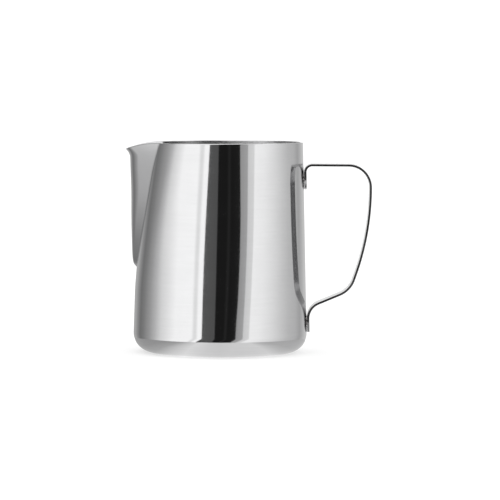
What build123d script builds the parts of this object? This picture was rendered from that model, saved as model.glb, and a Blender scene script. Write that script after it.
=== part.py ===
from build123d import *
import math
import os

# Milk frothing pitcher in polished stainless steel, in millimetres.
# Origin: centre of the base, on the plane that the pitcher stands on. +Z is up.
# The spout points along -X and the handle along +X.

# Driving dimensions of the cup
BODY_RADIUS = 45.35          # outer radius of the wall where it meets the base corner
RIM_RADIUS = 42.65           # outer radius of the wall at the rim
RIM_HEIGHT = 109.5          # height of the rim above the table, on the pitcher's axis
CORNER_RADIUS = 10.0        # outer radius of the corner between base and wall
SHEET = 0.8                 # thickness of the drawn sheet
RECESS_DEPTH = 0.8          # how far the middle of the base stands clear of the table
RECESS_RADIUS = 28.0
RECESS_SLOPE_WIDTH = 4.0    # width of the slope between the recess and the foot ring
RECESS_FILLET = 3.0

# The wall is pressed in beside the spout. Going round towards the spout from PRESS_EDGE, its reach
# shrinks ever faster over PRESS_FADE, then steadily, and levels out over PRESS_FLAT in front
PRESS_START = 31.0          # height at which the pressing begins
PRESS_LEAD = 6.0            # height over which it eases in
PRESS_RATE = 0.103          # millimetres of reach lost per radian, for each millimetre of height
PRESS_EDGE = 40.0           # degrees from straight ahead, at PRESS_START
PRESS_SPREAD = 0.38         # degrees that the edge moves out per millimetre of height
PRESS_FADE = 16.0           # degrees
PRESS_FLAT = 12.0           # degrees
PRESS_CREASE = 0.12         # how far the pressing stands proud where it leaves the wall, in a faint crease
PRESS_LEVELS = [PRESS_START + 1.2, 38, 48, 62, 80, 98, 116]
PRESS_STEPS = 10            # points on each side of a pressed section

# Rim line, as seen from the side: it falls gently towards the spout, then dips to its tip
RIM_TILT = 0.4              # degrees
SPOUT_TIP_HEIGHT = 105.6
SPOUT_TIP_REACH = 50.1
SPOUT_DIP_START = 32.0      # distance from the axis at which the dip begins
REACH_LIMIT = 60.0          # cutting solids extend this far from the axis
TRIM_MARGIN = 1.0           # how far they extend past the work that they trim

# Stations up the spout: height, reach of the nose from the axis, radius of the rounded nose,
# and how far the flanks face away from straight ahead, in degrees
SPOUT_STATIONS = [
    (43.8, 43.6, 6.0, 24.0),
    (45.2, 44.95, 6.0, 24.0),
    (47.5, 45.85, 6.5, 26.0),
    (51.0, 46.2, 8.0, 28.5),
    (58.5, 46.5, 11.5, 32.0),
    (70.0, 46.8, 15.5, 37.0),
    (85.0, 46.95, 17.5, 42.0),
    (100.0, 47.5, 17.0, 44.0),
    (103.5, 48.2, 16.5, 45.0),
    (106.0, 50.2, 13.5, 46.5),
    (111.0, 55.0, 10.5, 50.5),
]

# Weld seam between spout and wall, seen along X: half width and height up one side
SEAM_SIDE = [
    (4.2, 45.2),
    (7.35, 48.0),
    (11.3, 58.0),
    (15.05, 70.0),
    (17.9, 85.0),
    (20.8, 100.0),
    (24.6, 111.0),
]
SEAM_FOOT = 43.6            # height of the seam where it crosses the middle
SEAM_WIDTH = 1.6
SEAM_STEPS = 24

# Handle: a flat strip bent in the XZ plane, with a flat tab at each end
STRIP_THICKNESS = 1.2
STRIP_WIDTH = 14.0
TAB_GAP = 0.15              # stand-off between the tabs and the wall
TAB_CORNER_RADIUS = 6.6
UPPER_TAB_END = 85.0
LOWER_TAB_END = 10.4
TOP_RUN_HEIGHT = 97.9       # heights and reaches are those of the strip's centre line
GRIP_REACH = 77.9
GRIP_TURN_HEIGHT = 63.0     # where the upright and the leaning tangents of the grip cross
LOWER_CORNER = (67.6, 32.85)
LOWER_RUN_SLOPE = 22.5      # degrees
BEND_RADII = [3.6, 11.5, 136.0, 13.0, 8.5]
EDGE_TOLERANCE = 0.01       # for telling the strip's short edges from the others

# Resistance-weld nuggets between the tabs and the wall
NUGGET_RADIUS = 2.0
NUGGET_SPACING = 7.0
NUGGET_REACH = 5.0          # length of the rods that are trimmed to the gap to give the nuggets
UPPER_NUGGET_HEIGHT = 91.5
LOWER_NUGGET_HEIGHT = 16.5

WALL_TAPER = (BODY_RADIUS - RIM_RADIUS) / (RIM_HEIGHT - CORNER_RADIUS)
WORK_TOP = PRESS_LEVELS[-1]  # solids are made this tall, then trimmed to the rim line


def wall_radius(height):
    """Outer radius of the conical wall at a height."""
    return BODY_RADIUS - WALL_TAPER * (height - CORNER_RADIUS)


def pressed_reach(bearing, height):
    """How far the pressed wall lies from the axis at a bearing from straight ahead, in radians."""
    rise = max(height - PRESS_START, 0)
    rate = PRESS_RATE * rise**2 / (rise + PRESS_LEAD)
    edge = press_edge(height)
    fade = math.radians(PRESS_FADE)
    level = math.radians(PRESS_FLAT)
    fading = min(max(edge - bearing, 0), fade) ** 2 / (2 * fade)
    steady = max(edge - fade - max(bearing, level), 0)
    front = (level**2 - min(bearing, level) ** 2) / (2 * level)
    return wall_radius(height) + PRESS_CREASE - rate * (fading + steady + front)


def press_edge(height):
    """Bearing at which the pressing leaves the wall."""
    return math.radians(PRESS_EDGE + PRESS_SPREAD * max(height - PRESS_START, 0))


def drawn_cup(inset):
    """The round cup as a full solid, with its surface moved in by inset."""
    points = [
        (0, RECESS_DEPTH + inset),
        (RECESS_RADIUS, RECESS_DEPTH + inset),
        (RECESS_RADIUS + RECESS_SLOPE_WIDTH, inset),
        (wall_radius(0) - inset, inset),
        (wall_radius(WORK_TOP) - inset, WORK_TOP),
        (0, WORK_TOP),
    ]
    outline = make_face(Plane.XZ * Polyline(*points, close=True))
    bottom = outline.vertices().filter_by(lambda v: v.Z < CORNER_RADIUS).sort_by(Axis.X)
    outline = fillet(bottom[-1], CORNER_RADIUS - inset)
    slope_end = RECESS_RADIUS + RECESS_SLOPE_WIDTH + TRIM_MARGIN
    bottom = outline.vertices().filter_by(lambda v: v.Z < CORNER_RADIUS)
    outline = fillet(bottom.filter_by(lambda v: TRIM_MARGIN < v.X < slope_end), RECESS_FILLET)
    return revolve(outline, Axis.Z)


def pressed_section(height, inset):
    """The pressed wall in plan: a curved front, and straight tangents that leave the wall at its ends."""
    edge = press_edge(height)
    points = []
    for i in range(-PRESS_STEPS, PRESS_STEPS + 1):
        bearing = edge * i / PRESS_STEPS
        reach = pressed_reach(abs(bearing), height) - inset
        points.append(Vector(-reach * math.cos(bearing), reach * math.sin(bearing)))
    leaving = Vector(math.sin(edge), math.cos(edge))
    arriving = Vector(-leaving.X, leaving.Y)
    front = Spline(*points, tangents=(arriving, leaving))
    far = points[-1] + leaving * REACH_LIMIT
    other_far = Vector(far.X, -far.Y)
    outline = [
        front,
        Line(points[-1], far),
        Polyline(far, (REACH_LIMIT, far.Y), (REACH_LIMIT, -far.Y), other_far),
        Line(other_far, points[0]),
    ]
    return Plane.XY.offset(height) * make_face(outline)


def spout_section(station, inset):
    """A rounded V in plan: a nose arc, two straight flanks, and a back inside the cup."""
    height, reach, nose_radius, turn = station
    centre = Vector(nose_radius - reach, 0)
    normal = Vector(-math.cos(math.radians(turn)), math.sin(math.radians(turn)))
    radius = nose_radius - inset
    shoulder = centre + normal * radius
    heel = normal * (centre.dot(normal) + radius)
    nose = centre + Vector(-radius, 0)
    other_shoulder, other_heel = (Vector(p.X, -p.Y) for p in (shoulder, heel))
    outline = [
        ThreePointArc(other_shoulder, nose, shoulder),
        Line(shoulder, heel),
        Line(heel, other_heel),
        Line(other_heel, other_shoulder),
    ]
    return Plane.XY.offset(height) * make_face(outline)


def vessel(inset):
    """Cup and spout as one full solid, with its surface moved in by inset."""
    cup = drawn_cup(inset)
    foot = cup & Pos(0, 0, PRESS_LEVELS[0] / 2) * Box(2 * REACH_LIMIT, 2 * REACH_LIMIT, PRESS_LEVELS[0])
    pressed = cup & loft([pressed_section(level, inset) for level in PRESS_LEVELS])
    spout = loft([spout_section(station, inset) for station in SPOUT_STATIONS])
    return foot + pressed + spout


def above_rim():
    """Everything above the rim line, which is drawn from the side and runs straight across."""
    fall = math.tan(math.radians(RIM_TILT))
    rise_end = (REACH_LIMIT, RIM_HEIGHT + REACH_LIMIT * fall)
    dip_start = (-SPOUT_DIP_START, RIM_HEIGHT - SPOUT_DIP_START * fall)
    dip = TangentArc(dip_start, (-SPOUT_TIP_REACH, SPOUT_TIP_HEIGHT), tangent=(-1, -fall))
    beyond = dip @ 1 + (dip % 1) * (REACH_LIMIT - SPOUT_TIP_REACH)
    top = WORK_TOP + TRIM_MARGIN
    outline = [
        Line(rise_end, dip_start),
        dip,
        Polyline(dip @ 1, beyond, (beyond.X, top), (REACH_LIMIT, top), rise_end),
    ]
    return extrude(Plane.XZ * make_face(outline), REACH_LIMIT, both=True)


def seam_prism(growth):
    """A prism along -X round the spout, whose outline is the seam's route moved out by growth."""
    other_side = [(-half_width, height) for half_width, height in reversed(SEAM_SIDE)]
    route = Spline(*other_side, (0, SEAM_FOOT), *SEAM_SIDE)
    fractions = [i / SEAM_STEPS for i in range(SEAM_STEPS + 1)]
    moved = [route @ f + (route % f).rotate(Axis.Z, -90) * growth for f in fractions]
    side = Spline(*moved)
    outline = make_face([side, Line(side @ 1, side @ 0)])
    return extrude(Plane.YZ * outline, REACH_LIMIT, dir=(-1, 0, 0))


def handle_strip():
    """The strip swept along its centre line, from the upper tab's end to the lower tab's end."""

    def tab_point(height):
        return (wall_radius(height) + TAB_GAP + STRIP_THICKNESS / 2, height)

    corner_x, corner_z = LOWER_CORNER
    drop = (corner_x - wall_radius(LOWER_TAB_END)) * math.tan(math.radians(LOWER_RUN_SLOPE))
    points = [
        tab_point(UPPER_TAB_END),
        tab_point(TOP_RUN_HEIGHT),
        (GRIP_REACH, TOP_RUN_HEIGHT),
        (GRIP_REACH, GRIP_TURN_HEIGHT),
        LOWER_CORNER,
        tab_point(corner_z - drop),
        tab_point(LOWER_TAB_END),
    ]
    path = Plane.XZ * FilletPolyline(*points, radius=BEND_RADII)
    across = Plane(origin=path @ 0, x_dir=(0, 1, 0), z_dir=path % 0)
    strip = sweep(across * Rectangle(STRIP_WIDTH, STRIP_THICKNESS), path=path)
    short = strip.edges().filter_by(lambda e: abs(e.length - STRIP_THICKNESS) < EDGE_TOLERANCE)
    end_points = (path @ 0, path @ 1)
    reach = STRIP_WIDTH / 2 + EDGE_TOLERANCE
    corners = [e for e in short if min((e.center() - p).length for p in end_points) < reach]
    return fillet(corners, TAB_CORNER_RADIUS)


outer = vessel(0)
shell = outer - vessel(SHEET) - above_rim()
spout_zone = seam_prism(-SEAM_WIDTH / 2)
seam_zone = seam_prism(SEAM_WIDTH / 2)
handle = handle_strip()

pieces = {
    "body_shell": shell - seam_zone,
    "spout": shell & spout_zone,
    "spout_seam_weld": (shell & seam_zone) - spout_zone,
    "handle": handle,
}

for level, height in (("upper", UPPER_NUGGET_HEIGHT), ("lower", LOWER_NUGGET_HEIGHT)):
    for side, direction in (("left", 1), ("right", -1)):
        reach = wall_radius(height) + TAB_GAP + STRIP_THICKNESS / 2
        centre = Pos(reach, direction * NUGGET_SPACING / 2, height)
        inwards = (Align.CENTER, Align.CENTER, Align.MIN)
        rod = centre * Rot(0, -90, 0) * Cylinder(NUGGET_RADIUS, NUGGET_REACH, align=inwards)
        pieces[f"{level}_weld_{side}"] = rod - outer - handle

os.makedirs("parts", exist_ok=True)
for name, piece in pieces.items():
    export_step(piece, f"parts/{name}.step")
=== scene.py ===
import math

import bmesh
import bpy
import numpy as np
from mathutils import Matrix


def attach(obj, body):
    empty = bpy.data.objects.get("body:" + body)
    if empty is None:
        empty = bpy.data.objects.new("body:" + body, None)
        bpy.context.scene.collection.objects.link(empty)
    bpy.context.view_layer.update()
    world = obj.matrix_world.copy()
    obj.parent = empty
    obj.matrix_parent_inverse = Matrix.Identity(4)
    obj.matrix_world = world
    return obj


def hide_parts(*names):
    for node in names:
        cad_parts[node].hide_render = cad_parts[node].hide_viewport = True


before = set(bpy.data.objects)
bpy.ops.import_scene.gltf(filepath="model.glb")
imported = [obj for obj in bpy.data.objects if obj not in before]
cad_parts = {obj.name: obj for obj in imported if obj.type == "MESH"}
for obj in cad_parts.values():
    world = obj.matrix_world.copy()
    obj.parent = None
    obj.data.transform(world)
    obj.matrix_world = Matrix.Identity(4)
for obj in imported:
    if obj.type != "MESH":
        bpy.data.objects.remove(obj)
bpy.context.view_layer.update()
MM = 0.001

# ---------------------------------------------------------------------------------------------
# Dimensions of the pitcher in millimetres, the same ones as in part.py
# ---------------------------------------------------------------------------------------------
BODY_RADIUS = 45.35
RIM_RADIUS = 42.65
RIM_HEIGHT = 109.5
CORNER_RADIUS = 10.0
SHEET = 0.8
RECESS_DEPTH = 0.8
RECESS_SLOPE = (26.2, 33.4)     # radii between which the base drops from the recess to the foot ring
PRESS_START = 31.0              # the wall is pressed in round the spout from this height up
PRESS_LEAD = 6.0                # height over which the pressing eases in
PRESS_RATE = 0.103              # reach lost per radian, for each millimetre of height
PRESS_EDGE = 40.0               # bearing from the spout at which the pressing ends, in degrees
PRESS_SPREAD = 0.38             # degrees that it moves out per millimetre of height
PRESS_FADE = math.radians(16)   # bearings over which the pressing fades out at its edge
PRESS_FLAT = math.radians(12)   # bearings over which it turns flat at the front
RIM_TILT = 0.4                  # degrees
SPOUT_TIP_HEIGHT = 105.6
SPOUT_TIP_REACH = 50.1
SPOUT_DIP_START = 32.0
# Height, reach of the nose, radius of the nose, and turn of its flanks in degrees
SPOUT_STATIONS = np.array([
    (43.8, 43.6, 6.0, 24.0),
    (45.2, 44.95, 6.0, 24.0),
    (47.5, 45.85, 6.5, 26.0),
    (51.0, 46.2, 8.0, 28.5),
    (58.5, 46.5, 11.5, 32.0),
    (70.0, 46.8, 15.5, 37.0),
    (85.0, 46.95, 17.5, 42.0),
    (100.0, 47.5, 17.0, 44.0),
    (103.5, 48.2, 16.5, 45.0),
    (106.0, 50.2, 13.5, 46.5),
    (111.0, 55.0, 10.5, 50.5),
])
# Distance from the middle and height of points on one side of the seam
SEAM_SIDE = [
    (4.2, 45.2), (7.35, 48.0), (11.3, 58.0), (15.05, 70.0), (17.9, 85.0), (20.8, 100.0), (24.6, 111.0),
]
SEAM_FOOT = 43.6
SEAM_WIDTH = 1.6
CREASE_HEIGHTS = [40, 50, 70, 90, 112]
CREASE_WIDTHS = [0.15, 0.2, 0.25, 0.32, 0.4]

STRIP_THICKNESS = 1.2
STRIP_WIDTH = 14.0
TAB_GAP = 0.15
TAB_CORNER_RADIUS = 6.6
UPPER_TAB_END = 85.0
LOWER_TAB_END = 10.4
TOP_RUN_HEIGHT = 97.9
GRIP_REACH = 77.9
GRIP_TURN_HEIGHT = 63.0
LOWER_CORNER = (67.6, 32.85)
LOWER_RUN_SLOPE = 22.5
BEND_RADII = [3.6, 11.5, 136.0, 13.0, 8.5]
NUGGET_SPACING = 7.0
UPPER_NUGGET_HEIGHT = 91.5
LOWER_NUGGET_HEIGHT = 16.5

# Details that only the visual model has
RIM_ROUND = SHEET / 2           # the rim's edge is ground round
CORNER_STEPS = 14
RIM_STEPS = 8
RIM_PASSES = 12                 # passes that settle the rim's height against the wall's reach there
STRIP_EDGE = 0.14               # rounding of the strip's long edges
DIMPLE_DEPTH = 0.14             # dents that the welding electrodes leave on the outside of the tabs
DIMPLE_RADIUS = 2.2
TAB_ZONE = BODY_RADIUS + 3      # the tabs lie within this distance from the axis
END_THICKNESS = 0.55            # share of the thickness left at the very end of a tab

WALL_TAPER = (BODY_RADIUS - RIM_RADIUS) / (RIM_HEIGHT - CORNER_RADIUS)
TAPER_ANGLE = math.atan(WALL_TAPER)
CORNER_CENTRE = BODY_RADIUS - CORNER_RADIUS / math.cos(TAPER_ANGLE)
WALL_FOOT = CORNER_RADIUS * (1 + math.sin(TAPER_ANGLE))


# ---------------------------------------------------------------------------------------------
# The vessel's surface
# ---------------------------------------------------------------------------------------------
def spline(knots, values):
    """A natural cubic spline through values at knots, with straight ends, as a function of an array."""
    knots = np.asarray(knots, float)
    values = np.asarray(values, float)
    step = np.diff(knots)
    slope = np.diff(values) / step
    count = len(knots)
    matrix = np.eye(count)
    right = np.zeros(count)
    for i in range(1, count - 1):
        matrix[i, i - 1:i + 2] = step[i - 1], 2 * (step[i - 1] + step[i]), step[i]
        right[i] = 6 * (slope[i] - slope[i - 1])
    bend = np.linalg.solve(matrix, right)
    first_slope = slope[0] - step[0] * bend[1] / 6
    last_slope = slope[-1] + step[-1] * bend[-2] / 6

    def value(x):
        x = np.asarray(x, float)
        inside = np.clip(x, knots[0], knots[-1])
        i = np.clip(np.searchsorted(knots, inside) - 1, 0, count - 2)
        a = (knots[i + 1] - inside) / step[i]
        b = 1 - a
        y = a * values[i] + b * values[i + 1]
        y += ((a**3 - a) * bend[i] + (b**3 - b) * bend[i + 1]) * step[i] ** 2 / 6
        y += first_slope * np.minimum(x - knots[0], 0) + last_slope * np.maximum(x - knots[-1], 0)
        return y

    return value


spout_reach, spout_nose, spout_turn = (spline(SPOUT_STATIONS[:, 0], SPOUT_STATIONS[:, i]) for i in (1, 2, 3))
crease_width = spline(CREASE_HEIGHTS, CREASE_WIDTHS)


def wall_radius(height):
    return BODY_RADIUS - WALL_TAPER * (height - CORNER_RADIUS)


def pressed_wall(bearing, height):
    """Distance from the axis of the round wall, pressed in beside the spout, by bearing from the spout."""
    rise = np.maximum(height - PRESS_START, 0)
    rate = PRESS_RATE * rise**2 / (rise + PRESS_LEAD)
    edge = np.radians(PRESS_EDGE + PRESS_SPREAD * rise)
    fading = np.clip(edge - bearing, 0, PRESS_FADE) ** 2 / (2 * PRESS_FADE)
    full = np.maximum(edge - PRESS_FADE - np.maximum(bearing, PRESS_FLAT), 0)
    front = (PRESS_FLAT**2 - np.minimum(bearing, PRESS_FLAT) ** 2) / (2 * PRESS_FLAT)
    return wall_radius(height) - rate * (fading + full + front)


def beak(bearing, height):
    """Distance of the spout's rounded V from the axis."""
    nose = spout_nose(height)
    turn = np.radians(spout_turn(height))
    centre = spout_reach(height) - nose
    flank = (centre * np.cos(turn) + nose) / np.cos(np.minimum(bearing - turn, 0))
    inside = np.maximum(nose**2 - (centre * np.sin(bearing)) ** 2, 0)
    tip = centre * np.cos(bearing) + np.sqrt(inside)
    return np.where(bearing < np.arctan2(nose * np.sin(turn), centre + nose * np.cos(turn)), tip, flank)


def vessel_radius(bearing, height):
    """Cup and spout together, with a soft crease where they meet."""
    bearing = np.abs((bearing + math.pi) % (2 * math.pi) - math.pi)
    cup = pressed_wall(bearing, height)
    spout = np.where(height > PRESS_START, beak(bearing, height), 0)
    width = crease_width(height)
    near = np.maximum(width - np.abs(cup - spout), 0) / width
    return np.maximum(cup, spout) + near**3 * width / 6


def rim_height(x):
    past = np.maximum(-SPOUT_DIP_START - x, 0)
    level = RIM_HEIGHT + x * math.tan(math.radians(RIM_TILT))
    tip_level = RIM_HEIGHT - SPOUT_TIP_REACH * math.tan(math.radians(RIM_TILT))
    bend = (tip_level - SPOUT_TIP_HEIGHT) / (SPOUT_TIP_REACH - SPOUT_DIP_START) ** 2
    return level - bend * past**2 - RIM_ROUND


def vessel_point(bearing, run):
    """A point of the outside. run goes 0 to 1 over the base, to 2 round the corner, and to 3 up the wall."""
    bearing = np.asarray(bearing, float)
    run = np.asarray(run, float)
    base_radius = run * CORNER_CENTRE
    share = np.clip((base_radius - RECESS_SLOPE[0]) / (RECESS_SLOPE[1] - RECESS_SLOPE[0]), 0, 1)
    base_height = RECESS_DEPTH * (1 - share * share * (3 - 2 * share))
    turn = (run - 1) * (math.pi / 2 + TAPER_ANGLE)
    corner_radius = CORNER_CENTRE + CORNER_RADIUS * np.sin(turn)
    corner_height = CORNER_RADIUS * (1 - np.cos(turn))
    top = np.full_like(bearing, RIM_HEIGHT)
    for _ in range(RIM_PASSES):
        top = rim_height(-np.cos(bearing) * vessel_radius(bearing, top))
    wall_height = WALL_FOOT + (run - 2) * (top - WALL_FOOT)
    wall = vessel_radius(bearing, wall_height)
    radius = np.where(run < 1, base_radius, np.where(run < 2, corner_radius, wall))
    height = np.where(run < 1, base_height, np.where(run < 2, corner_height, wall_height))
    return np.stack([-radius * np.cos(bearing), radius * np.sin(bearing), height], axis=-1)


def unit(vectors):
    return vectors / np.maximum(np.linalg.norm(vectors, axis=-1, keepdims=True), 1e-12)


def vessel_frame(bearing, run):
    """Point, outward normal and upward tangent at each bearing and run."""
    little = 1e-4
    point = vessel_point(bearing, run)
    around = vessel_point(bearing + little, run) - vessel_point(bearing - little, run)
    up = vessel_point(bearing, run + little) - vessel_point(bearing, run - little)
    normal = unit(np.cross(up, around))
    normal[run < 1e-6] = (0, 0, -1)
    return point, normal, unit(up)


# The seam's route, seen along X, sampled finely enough to measure distances from it
route_points = np.array([(-y, z) for y, z in reversed(SEAM_SIDE)] + [(0, SEAM_FOOT)] + SEAM_SIDE)
chords = np.concatenate([[0], np.cumsum(np.linalg.norm(np.diff(route_points, axis=0), axis=1))])
SEAM_SAMPLES = 600
samples = np.linspace(0, chords[-1], SEAM_SAMPLES)
seam_route = np.stack([spline(chords, route_points[:, i])(samples) for i in (0, 1)], axis=-1)


def seam_distance(points):
    """Signed distance from the seam's route, seen along X: negative over the spout."""
    flat = points[:, 1:]
    nearest = np.full(len(points), 1e9)
    for a, b in zip(seam_route[:-1], seam_route[1:]):
        along = b - a
        share = np.clip((flat - a) @ along / (along @ along), 0, 1)
        nearest = np.minimum(nearest, np.linalg.norm(flat - a - share[:, None] * along, axis=1))
    half = seam_route[len(seam_route) // 2:]
    inside = np.abs(flat[:, 0]) < np.interp(flat[:, 1], half[:, 1], half[:, 0], left=-1)
    distance = np.where(inside, -nearest, nearest)
    return np.where(points[:, 0] < 0, distance, BODY_RADIUS)


def steps(*spans):
    """Numbers from the first value up through each (end, spacing)."""
    values = [spans[0]]
    for end, spacing in spans[1:]:
        start = values[-1]
        count = max(1, round((end - start) / spacing))
        values += [start + (end - start) * i / count for i in range(1, count + 1)]
    return values


def vessel_grid():
    """Faces over the outside as corner lists, cut along the seam's two sides. Each corner has its distance
    from the seam, its bearing and its run."""
    half_turn = steps(0, (35, 0.5), (44, 1), (180, 2))
    bearings = np.radians([-a for a in half_turn[-2:0:-1]] + half_turn)
    base = [r / CORNER_CENTRE for r in steps(3, (24, 3), (CORNER_CENTRE, 0.7))]
    corner = [1 + i / CORNER_STEPS for i in range(1, CORNER_STEPS + 1)]
    heights = steps(WALL_FOOT, (30, 4), (41, 1.5), (48, 0.35), (60, 0.8), (96, 1.4), (RIM_HEIGHT, 0.6))
    wall = [2 + (h - WALL_FOOT) / (RIM_HEIGHT - WALL_FOOT) for h in heights[1:]]
    runs = np.array(base + corner + wall)
    columns, rows = len(bearings), len(runs)
    b, r = np.meshgrid(bearings, runs)
    b, r = b.ravel(), r.ravel()
    distance = seam_distance(vessel_point(b, r))
    sheet = bmesh.new()
    corners = [sheet.verts.new(co) for co in zip(distance, b, r)]
    centre = sheet.verts.new((BODY_RADIUS, 0, 0))
    for i in range(columns):
        n = (i + 1) % columns
        sheet.faces.new((centre, corners[i], corners[n]))
        for k in range(rows - 1):
            low, high = k * columns, (k + 1) * columns
            sheet.faces.new((corners[low + i], corners[high + i], corners[high + n], corners[low + n]))
    for side in (-SEAM_WIDTH / 2, SEAM_WIDTH / 2):
        everything = sheet.verts[:] + sheet.edges[:] + sheet.faces[:]
        bmesh.ops.bisect_plane(sheet, geom=everything, dist=1e-6, plane_co=(side, 0, 0), plane_no=(1, 0, 0))
    sheet.verts.index_update()
    places = np.array([v.co for v in sheet.verts], float)
    faces = [[v.index for v in f.verts] for f in sheet.faces]
    sheet.free()
    return places, faces


def placed(name, data):
    made = bpy.data.objects.new(name, data)
    bpy.context.collection.objects.link(made)
    return made


def thick_piece(name, faces, points, normals, ups, on_rim):
    """Gives a patch of the outside its sheet thickness, a rounded rim edge and closed sides."""
    used = sorted({v for f in faces for v in f})
    index = {v: i for i, v in enumerate(used)}
    count = len(used)
    verts = list(points[used]) + list(points[used] - normals[used] * SHEET)
    made, shades, inner_face = [], [], []

    def add(face, shade, inside):
        made.append(face)
        shades.extend(shade)
        inner_face.append(inside)

    def flat_add(face):
        a, b, c = (verts[i] for i in face[:3])
        add(face, [unit(np.cross(b - a, c - a))] * len(face), False)

    def leaning(v, turn):
        return math.cos(turn) * normals[v] + math.sin(turn) * ups[v]

    sides = {}
    for f in faces:
        own = [index[v] for v in f]
        add(own, normals[f], False)
        add([i + count for i in reversed(own)], -normals[f[::-1]], True)
        for a, b in zip(f, f[1:] + f[:1]):
            if (b, a) in sides:
                del sides[(b, a)]
            else:
                sides[(a, b)] = True
    arcs, ends = {}, {}
    turns = [math.pi * k / RIM_STEPS for k in range(1, RIM_STEPS)]
    for a, b in sides:
        if not (on_rim[a] and on_rim[b]):
            flat_add([index[b], index[a], index[a] + count, index[b] + count])
            continue
        for v in (a, b):
            ends[v] = ends.get(v, 0) + (1 if v == a else -1)
            if v in arcs:
                continue
            first = len(verts)
            centre = points[v] - normals[v] * RIM_ROUND
            verts.extend(centre + RIM_ROUND * leaning(v, t) for t in turns)
            arcs[v] = [index[v], *range(first, first + len(turns)), index[v] + count]
        shade = {v: [leaning(v, t) for t in (0, *turns, math.pi)] for v in (a, b)}
        for k in range(RIM_STEPS):
            face = [arcs[b][k], arcs[a][k], arcs[a][k + 1], arcs[b][k + 1]]
            add(face, [shade[b][k], shade[a][k], shade[a][k + 1], shade[b][k + 1]], False)
    for v, balance in ends.items():
        if balance:
            flat_add(arcs[v] if balance < 0 else arcs[v][::-1])
    mesh = bpy.data.meshes.new(name)
    mesh.from_pydata([tuple(v * MM) for v in verts], [], made)
    mesh.polygons.foreach_set("use_smooth", [True] * len(made))
    mesh.polygons.foreach_set("material_index", [int(i) for i in inner_face])
    mesh.normals_split_custom_set([tuple(s) for s in shades])
    return placed(name, mesh)


# ---------------------------------------------------------------------------------------------
# The handle: a flat strip with rounded long edges, bent along a path of straight runs and arcs
# ---------------------------------------------------------------------------------------------
def strip_path():
    """Points, forward directions and outward directions along the strip, in the XZ plane."""

    def tab_point(height):
        return np.array((wall_radius(height) + TAB_GAP + STRIP_THICKNESS / 2, height))

    drop = (LOWER_CORNER[0] - wall_radius(LOWER_TAB_END)) * math.tan(math.radians(LOWER_RUN_SLOPE))
    corners = [
        tab_point(UPPER_TAB_END),
        tab_point(TOP_RUN_HEIGHT),
        np.array((GRIP_REACH, TOP_RUN_HEIGHT)),
        np.array((GRIP_REACH, GRIP_TURN_HEIGHT)),
        np.array(LOWER_CORNER),
        tab_point(LOWER_CORNER[1] - drop),
        tab_point(LOWER_TAB_END),
    ]
    points, ahead = [], []

    def straight(start, end, spacing):
        count = max(2, round(np.linalg.norm(end - start) / spacing))
        for i in range(count):
            points.append(start + (end - start) * i / count)
            ahead.append(unit(end - start))

    place = corners[0]
    for k, radius in enumerate(BEND_RADII, 1):
        before, after = unit(corners[k] - corners[k - 1]), unit(corners[k + 1] - corners[k])
        turn = math.atan2(before[0] * after[1] - before[1] * after[0], before @ after)
        cut = radius * math.tan(abs(turn) / 2)
        start = corners[k] - before * cut
        straight(place, start, 0.4 if k in (1, 6) else 1.5)
        sideways = np.array((-before[1], before[0])) * math.copysign(1, turn)
        count = max(6, round(abs(turn) / math.radians(4)), round(radius * abs(turn) / 1.5))
        for i in range(count):
            angle = abs(turn) * i / count
            forward, aside = radius * math.sin(angle), radius * (1 - math.cos(angle))
            points.append(start + before * forward + sideways * aside)
            ahead.append(before * math.cos(angle) + sideways * math.sin(angle))
        place = corners[k] + after * cut
    straight(place, corners[-1], 0.4)
    points.append(corners[-1])
    ahead.append(ahead[-1])
    ahead = np.array(ahead)
    return np.array(points), ahead, np.stack([-ahead[:, 1], ahead[:, 0]], axis=-1)


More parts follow.
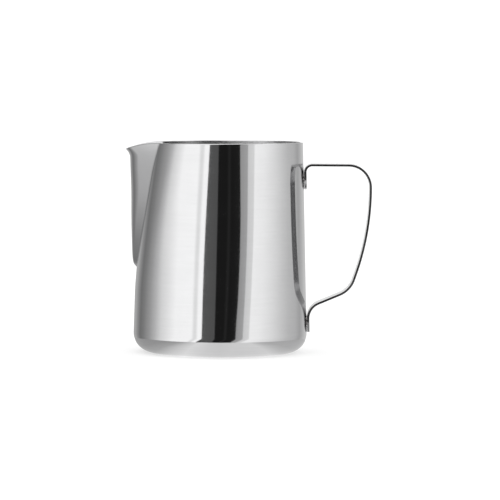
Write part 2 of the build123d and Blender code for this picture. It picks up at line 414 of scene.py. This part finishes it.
def make_handle():
    points, ahead, outward = strip_path()
    if outward[0][0] < 0:
        outward = -outward
    lengths = np.concatenate([[0], np.cumsum(np.linalg.norm(np.diff(points, axis=0), axis=1))])
    from_end = np.minimum(lengths, lengths[-1] - lengths)
    half_thick = STRIP_THICKNESS / 2
    across = np.linspace(-1, 1, 37)
    edge_turns = [math.radians(a) for a in (15, 30, 45, 60, 75)]
    verts, rings = [], []
    for p, out, end in zip(points, outward, from_end):
        lost = TAB_CORNER_RADIUS - end
        pulled = TAB_CORNER_RADIUS - math.sqrt(TAB_CORNER_RADIUS**2 - lost**2) if lost > 0 else 0
        half = STRIP_WIDTH / 2 - pulled
        rounding = math.sqrt(max(0, 1 - (1 - min(end / STRIP_EDGE, 1)) ** 2))
        thin = min(1.0, END_THICKNESS + (1 - END_THICKNESS) * rounding)
        flat = half - STRIP_EDGE
        side = [(w * flat, half_thick) for w in across]
        side += [(flat + STRIP_EDGE * math.sin(t), half_thick - STRIP_EDGE * (1 - math.cos(t)))
                 for t in edge_turns]
        side.append((half, half_thick - STRIP_EDGE))
        side += [(y, -rise) for y, rise in side[:len(across) - 1:-1]]
        section = side + [(-y, -rise) for y, rise in side]
        ring = []
        for y, rise in section:
            rise *= thin
            if rise > 0:
                for height in (UPPER_NUGGET_HEIGHT, LOWER_NUGGET_HEIGHT):
                    away = math.hypot(abs(y) - NUGGET_SPACING / 2, p[1] - height) / DIMPLE_RADIUS
                    if away < 1 and p[0] < TAB_ZONE:
                        rise -= DIMPLE_DEPTH * (1 - away**2) ** 2
            ring.append(len(verts))
            verts.append(((p[0] + out[0] * rise) * MM, y * MM, (p[1] + out[1] * rise) * MM))
        rings.append(ring)
    size = len(rings[0])
    faces = [[a[i], a[(i + 1) % size], b[(i + 1) % size], b[i]]
             for a, b in zip(rings, rings[1:]) for i in range(size)]
    faces += [rings[0][::-1], rings[-1]]
    mesh = bpy.data.meshes.new("handle_strip")
    mesh.from_pydata(verts, [], faces)
    mesh.polygons.foreach_set("use_smooth", [True] * len(faces))
    work = bmesh.new()
    work.from_mesh(mesh)
    bmesh.ops.recalc_face_normals(work, faces=work.faces)
    for face in work.faces:
        if len(face.verts) > 4:
            for edge in face.edges:
                edge.smooth = False
    work.to_mesh(mesh)
    work.free()
    return placed("handle_strip", mesh)


# ---------------------------------------------------------------------------------------------
# Materials
# ---------------------------------------------------------------------------------------------
PATCH_SCALE = 90.0              # of the broad shading over all the steel, per metre
LINE_DEPTH = 0.00002            # metres


def material(name):
    made = bpy.data.materials.new(name)
    made.use_nodes = True
    tree = made.node_tree
    shader = tree.nodes["Principled BSDF"]
    return made, tree, shader


def node(tree, kind, inputs=None, **settings):
    made = tree.nodes.new(kind)
    for key, value in settings.items():
        setattr(made, key, value)
    for key, value in (inputs or {}).items():
        if isinstance(value, bpy.types.NodeSocket):
            tree.links.new(value, made.inputs[key])
        else:
            made.inputs[key].default_value = value
    return made


def noise(tree, stretch, scale):
    """A noise that is stretched along the axes with small numbers, in metres."""
    place = node(tree, "ShaderNodeTexCoord")
    mapped = node(tree, "ShaderNodeMapping", {"Vector": place.outputs["Object"], "Scale": stretch})
    inputs = {"Vector": mapped.outputs["Vector"], "Scale": scale, "Detail": 3.0}
    return node(tree, "ShaderNodeTexNoise", inputs).outputs["Fac"]


def ranged(tree, value, low, high):
    return node(tree, "ShaderNodeMapRange", {"Value": value, "From Min": 0.3, "From Max": 0.7,
                                             "To Min": low, "To Max": high}).outputs["Result"]


def blended(tree, share, first, second):
    made = node(tree, "ShaderNodeMix", {"Factor": share}, data_type="RGBA")
    made.inputs["A"].default_value = (*first, 1)
    made.inputs["B"].default_value = (*second, 1)
    return made.outputs["Result"]


def steel(name, tint, roughness, lines, bump):
    """Stainless steel with fine working lines: tint and roughness are (low, high) pairs."""
    made, tree, shader = material(name)
    fine = noise(tree, lines, 1.0)
    broad = noise(tree, (1, 1, 1), PATCH_SCALE)
    mixed = node(tree, "ShaderNodeMath", {0: fine, 1: broad}, operation="ADD").outputs["Value"]
    half = node(tree, "ShaderNodeMath", {0: mixed, 1: 0.5}, operation="MULTIPLY").outputs["Value"]
    tree.links.new(blended(tree, ranged(tree, half, 0, 1), tint[0], tint[1]), shader.inputs["Base Color"])
    tree.links.new(ranged(tree, half, *roughness), shader.inputs["Roughness"])
    relief = node(tree, "ShaderNodeBump", {"Height": fine, "Strength": bump, "Distance": LINE_DEPTH})
    tree.links.new(relief.outputs["Normal"], shader.inputs["Normal"])
    shader.inputs["Metallic"].default_value = 1.0
    return made


polished = steel("polished_steel", ((0.585, 0.585, 0.59), (0.615, 0.615, 0.62)), (0.045, 0.085),
                 (60, 60, 1400), 0.12)
# painted light: the inside's tint is set lighter than the outside steel's so the inside reads brighter; its
# satin roughness is its own finish
satin_painted_light = steel("satin_inside_painted_light", ((0.70, 0.70, 0.705), (0.77, 0.77, 0.775)), (0.2, 0.3),
              (80, 80, 2200), 0.3)
seam_steel = steel("ground_seam", ((0.53, 0.53, 0.535), (0.60, 0.60, 0.605)), (0.09, 0.17),
                   (900, 900, 300), 0.3)
# painted shade: the handle's tint is set far darker than the cup's steel so the whole strip reads dark
strip_steel_painted_shade = steel("handle_steel_painted_shade", ((0.28, 0.28, 0.283), (0.35, 0.35, 0.353)), (0.2, 0.3),
                    (90, 1600, 90), 0.25)
nugget_steel = steel("weld_steel", ((0.30, 0.29, 0.285), (0.42, 0.41, 0.40)), (0.3, 0.5),
                     (900, 900, 900), 0.5)

# ---------------------------------------------------------------------------------------------
# Make the pieces
# ---------------------------------------------------------------------------------------------
places, grid_faces = vessel_grid()
points, normals, ups = vessel_frame(places[:, 1], places[:, 2])
on_rim = places[:, 2] > 3 - 1e-5
middles = np.array([places[f, 0].mean() for f in grid_faces])
groups = {
    "body_sheet": ("body_shell", "cup_steel", polished, middles > SEAM_WIDTH / 2),
    "spout_sheet": ("spout", "spout_steel", polished, middles < -SEAM_WIDTH / 2),
    "spout_seam": ("spout_seam_weld", "seam_steel", seam_steel, np.abs(middles) < SEAM_WIDTH / 2),
}
for name, (cad_node, slot, outside, chosen) in groups.items():
    patch = [grid_faces[i] for i in np.flatnonzero(chosen)]
    piece = thick_piece(name, patch, points, normals, ups, on_rim)
    piece.data.materials.append(outside)
    piece.data.materials.append(satin_painted_light)
    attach(piece, "root")
    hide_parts(cad_node)

handle = make_handle()
handle.data.materials.append(strip_steel_painted_shade)
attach(handle, "root")
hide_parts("handle")

for name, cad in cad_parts.items():
    if "_weld_" in name:
        cad.data.materials.clear()
        cad.data.materials.append(nugget_steel)

# ---------------------------------------------------------------------------------------------
# Camera, floor and light
# ---------------------------------------------------------------------------------------------
CAMERA_SIDE = 0.01464           # all in metres
CAMERA_DISTANCE = 1.605
CAMERA_HEIGHT = 0.1476
CAMERA_FALL = 0.0944            # how far the line of sight falls over CAMERA_DISTANCE
CAMERA_ROLL = -0.4              # degrees
camera = placed("camera", bpy.data.cameras.new("camera"))
bpy.context.scene.camera = camera
camera.data.sensor_width = 36
camera.data.lens = 221.6
camera.data.clip_end = 50
camera.location = (CAMERA_SIDE, -CAMERA_DISTANCE, CAMERA_HEIGHT)
camera.rotation_euler = (math.atan2(CAMERA_DISTANCE, CAMERA_FALL), math.radians(CAMERA_ROLL), 0)


def emission(name, stops):
    """A light whose brightness changes with the mesh's U. stops are (share across, brightness)."""
    made, tree, shader = material(name)
    tree.nodes.remove(shader)
    across = node(tree, "ShaderNodeUVMap")
    split = node(tree, "ShaderNodeSeparateXYZ", {"Vector": across.outputs["UV"]})
    ramp = node(tree, "ShaderNodeValToRGB", {"Fac": split.outputs["X"]})
    marks = ramp.color_ramp.elements
    while len(marks) < len(stops):
        marks.new(0.5)
    for mark, (position, level) in zip(marks, stops):
        mark.position = position
        mark.color = (level, level, level, 1)
    glow = node(tree, "ShaderNodeEmission", {"Strength": 1.0, "Color": ramp.outputs["Color"]})
    tree.links.new(glow.outputs["Emission"], tree.nodes["Material Output"].inputs["Surface"])
    return made


CARD_RADIUS = 0.42              # metres, like the other card, floor and table sizes
CARD_FOOT = -0.15
CARD_HEIGHT = 0.5
CARD_TOP = 0.115                # the height at which a card's upper bearings hold
CARD_COLUMNS = 48
CARD_ROWS = 26


def add_uvs(mesh, uvs):
    layer = mesh.uv_layers.new(name="UVMap")
    for loop in mesh.loops:
        layer.data[loop.index].uv = uvs[loop.vertex_index]


def reflected_only(thing):
    thing.visible_camera = False
    thing.visible_shadow = False
    thing.visible_diffuse = False


def card(name, low, high, stops):
    """A curved card round the pitcher, lit from behind. low and high are its two edges: bearings in degrees
    at floor level and at CARD_TOP, from the camera and towards the spout, and the bow between them."""
    verts, faces, uvs = [], [], []
    for k in range(CARD_ROWS + 1):
        level = CARD_FOOT + (CARD_HEIGHT - CARD_FOOT) * k / CARD_ROWS
        share = level / CARD_TOP
        bowed = 4 * min(max(share, 0), 1) * (1 - min(max(share, 0), 1))
        left, right = (edge[0] + (edge[1] - edge[0]) * share + edge[2] * bowed for edge in (low, high))
        for i in range(CARD_COLUMNS + 1):
            angle = math.radians(left + (right - left) * i / CARD_COLUMNS)
            verts.append((-math.sin(angle) * CARD_RADIUS, -math.cos(angle) * CARD_RADIUS, level))
            uvs.append((i / CARD_COLUMNS, share))
    for k in range(CARD_ROWS):
        for i in range(CARD_COLUMNS):
            corner = k * (CARD_COLUMNS + 1) + i
            above = corner + CARD_COLUMNS + 1
            faces.append((corner, corner + 1, above + 1, above))
    mesh = bpy.data.meshes.new(name)
    mesh.from_pydata(verts, [], faces)
    add_uvs(mesh, uvs)
    mesh.materials.append(emission(name, stops))
    reflected_only(placed(name, mesh))


LEFT_END = (165, 165, 0)
LEFT_EDGE = (22.4, 14.8, 1.5)
BLACK_START = (6.4, 3.0, -0.3)
BLACK_END = (-19.6, -24.8, -3.4)
REFLECTOR_END = (-28.7, -35.8, -2.2)
BRIGHT_END = (-36.8, -45.0, -2.0)
RIGHT_END = (-165, -165, 0)
card("softbox_left", LEFT_END, LEFT_EDGE,
     [(0, 0.5), (0.13, 0.5), (0.27, 0.24), (0.34, 0.31), (0.44, 0.49), (0.52, 0.73), (0.59, 1.03),
      (0.66, 1.2), (0.75, 1.45), (0.905, 1.48), (0.93, 1.16), (0.945, 1.16), (0.965, 1.5), (1, 1.5)])
card("flag_grey", LEFT_EDGE, BLACK_START, [(0, 0.14), (1, 0.12)])
card("flag_black", BLACK_START, BLACK_END, [(0, 0.015), (0.4, 0.015), (0.5, 0.03), (0.6, 0.015), (1, 0.02)])
card("reflector", BLACK_END, REFLECTOR_END, [(0, 0.46), (1, 0.56)])
card("reflector_bright", REFLECTOR_END, BRIGHT_END, [(0, 0.95), (1, 1.05)])
card("softbox_right", BRIGHT_END, RIGHT_END,
     [(0, 1.38), (0.12, 1.31), (0.25, 1.12), (0.38, 0.9), (0.48, 0.76), (0.6, 0.68), (0.7, 0.53),
      (0.845, 0.7), (1, 0.68)])

# Floor that turns up into a backdrop
FLOOR_HALF = 4.0
FLOOR_END = 2.0                 # where it starts to turn up
BACKDROP_TURN = 0.8
BACKDROP_TOP = 3.5
FLOOR_GLOW = 0.55
floor_material, tree, shader = material("floor")
shader.inputs["Roughness"].default_value = 0.9
grain = noise(tree, (1, 1, 1), 30.0)
tree.links.new(blended(tree, grain, (0.44, 0.44, 0.44), (0.46, 0.46, 0.46)), shader.inputs["Base Color"])
shader.inputs["Emission Color"].default_value = (1, 1, 1, 1)
shader.inputs["Emission Strength"].default_value = FLOOR_GLOW
profile = [(-FLOOR_HALF, 0.0), (FLOOR_END, 0.0)]
profile += [(FLOOR_END + math.sin(a) * BACKDROP_TURN, BACKDROP_TURN - math.cos(a) * BACKDROP_TURN)
            for a in np.linspace(0.1, math.pi / 2, 14)]
profile.append((FLOOR_END + BACKDROP_TURN, BACKDROP_TOP))
floor_mesh = bpy.data.meshes.new("floor")
floor_mesh.from_pydata([(x, y, z) for y, z in profile for x in (-FLOOR_HALF, FLOOR_HALF)], [],
                       [(2 * i, 2 * i + 1, 2 * i + 3, 2 * i + 2) for i in range(len(profile) - 1)])
floor_mesh.polygons.foreach_set("use_smooth", [True] * len(floor_mesh.polygons))
floor_mesh.materials.append(floor_material)
floor = placed("floor", floor_mesh)
floor.location.z = -0.0002
floor.visible_glossy = False

# A round card on the floor that only reflections see: it gives the cup's bottom corner its shades
TABLE_RADIUS = 0.066
TABLE_SIDES = 96
table_mesh = bpy.data.meshes.new("table")
turns = np.linspace(0, 2 * math.pi, TABLE_SIDES + 1)[:-1]
round_edge = [(math.cos(a) * TABLE_RADIUS, math.sin(a) * TABLE_RADIUS, 0) for a in turns]
table_mesh.from_pydata(round_edge, [], [list(range(TABLE_SIDES))])
add_uvs(table_mesh, [(0.5 + x / (2 * TABLE_RADIUS), 0.5) for x, y, z in round_edge])
table_mesh.materials.append(emission("table", [
    (0, 0.45), (0.167, 0.47), (0.242, 0.58), (0.303, 0.88), (0.364, 1.12), (0.44, 0.98), (0.5, 0.93),
    (0.606, 0.98), (0.697, 1.0), (0.75, 0.78), (0.803, 0.65), (1, 0.6)]))
table = placed("table", table_mesh)
table.location.z = -0.0001
reflected_only(table)

WORLD_STRENGTH = 1.3
world = bpy.data.worlds.new("studio")
bpy.context.scene.world = world
world.use_nodes = True
world.node_tree.nodes["Background"].inputs["Color"].default_value = (1, 1, 1, 1)
world.node_tree.nodes["Background"].inputs["Strength"].default_value = WORLD_STRENGTH

bpy.context.scene.view_settings.view_transform = "Standard"
